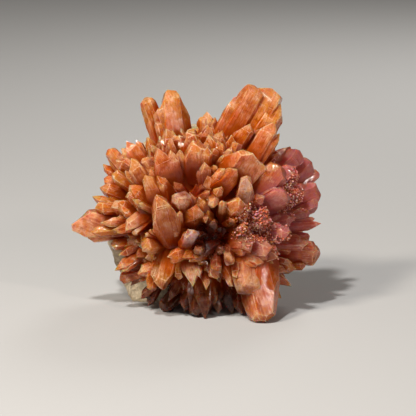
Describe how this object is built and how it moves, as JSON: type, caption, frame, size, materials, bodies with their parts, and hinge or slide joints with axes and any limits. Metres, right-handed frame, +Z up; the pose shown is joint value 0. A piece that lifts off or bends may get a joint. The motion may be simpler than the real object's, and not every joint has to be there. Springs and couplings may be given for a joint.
{
  "type": "creedite crystal cluster",
  "caption": "Rounded burst of flat translucent orange crystal blades grown on a lump of pale matrix rock, resting on its lowest blades and a flat underside.",
  "frame": {"origin": "on the table, under the middle of the whole cluster's box", "axes": "+Z up; +X to the right as the display side is seen; the display side faces -Y and leans back"},
  "size_m": [0.0376, 0.0278, 0.0325],
  "materials": {
    "creedite": "translucent orange crystal, glossy faces with a frosted bloom",
    "matrix_rock": "matte cream-white rock"
  },
  "bodies": {
    "root": {"creedite_crystals": "creedite", "matrix": "matrix_rock"}
  },
  "joints": []
}
